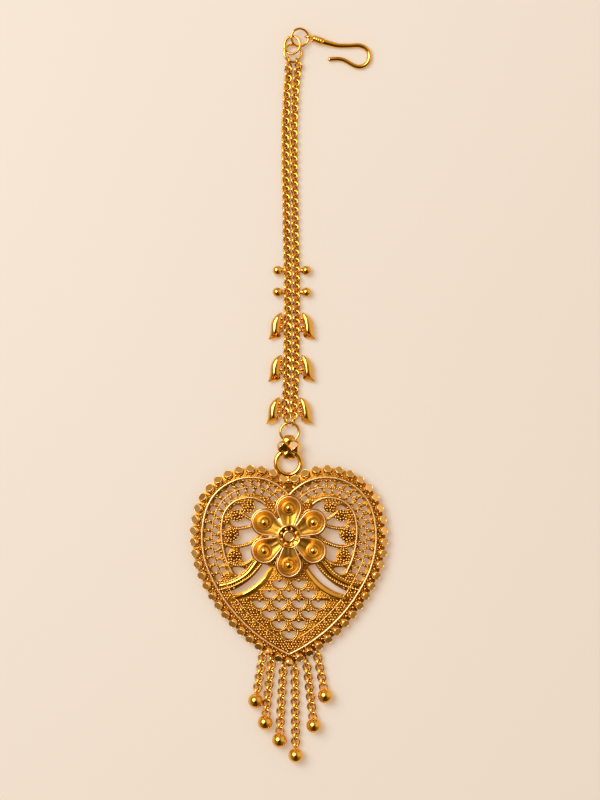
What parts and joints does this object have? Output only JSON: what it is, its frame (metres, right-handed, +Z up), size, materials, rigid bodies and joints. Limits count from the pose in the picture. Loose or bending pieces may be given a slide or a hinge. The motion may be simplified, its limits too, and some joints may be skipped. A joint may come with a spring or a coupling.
{
  "type": "maang tikka forehead ornament",
  "caption": "Gold-coloured maang tikka: hair hook, double link chain with ball and leaf bars, pierced filigree heart with a flower, and chain drops ending in balls.",
  "frame": {"origin": "on the surface the ornament lies on, under the middle of its outline", "axes": "+Y along the length from the drops to the hook, +Z up from the surface, +X to the wearer's left with the face up"},
  "size_m": [0.0396, 0.147, 0.0043],
  "materials": {
    "gold": "polished yellow gold, bright on balls and rings, frosted in the recesses of the filigree"
  },
  "bodies": {
    "root": {"hair_hook": "gold", "jump_ring_hook": "gold", "jump_ring_upper": "gold", "jump_ring_lower": "gold", "chain_left": "gold", "chain_right": "gold", "ball_bar_1": "gold", "ball_bar_2": "gold", "leaf_bar_1": "gold", "leaf_bar_2": "gold", "leaf_bar_3": "gold", "chain_ring": "gold", "bail_connector": "gold", "heart_frame": "gold", "flower": "gold", "flower_rivet": "gold", "drop_chain_1": "gold", "drop_chain_2": "gold", "drop_chain_3": "gold", "drop_chain_4": "gold", "drop_chain_5": "gold", "drop_chain_6": "gold", "drop_ball_1": "gold", "drop_ball_2": "gold", "drop_ball_3": "gold", "drop_ball_4": "gold", "drop_ball_5": "gold", "drop_ball_6": "gold"}
  },
  "joints": []
}
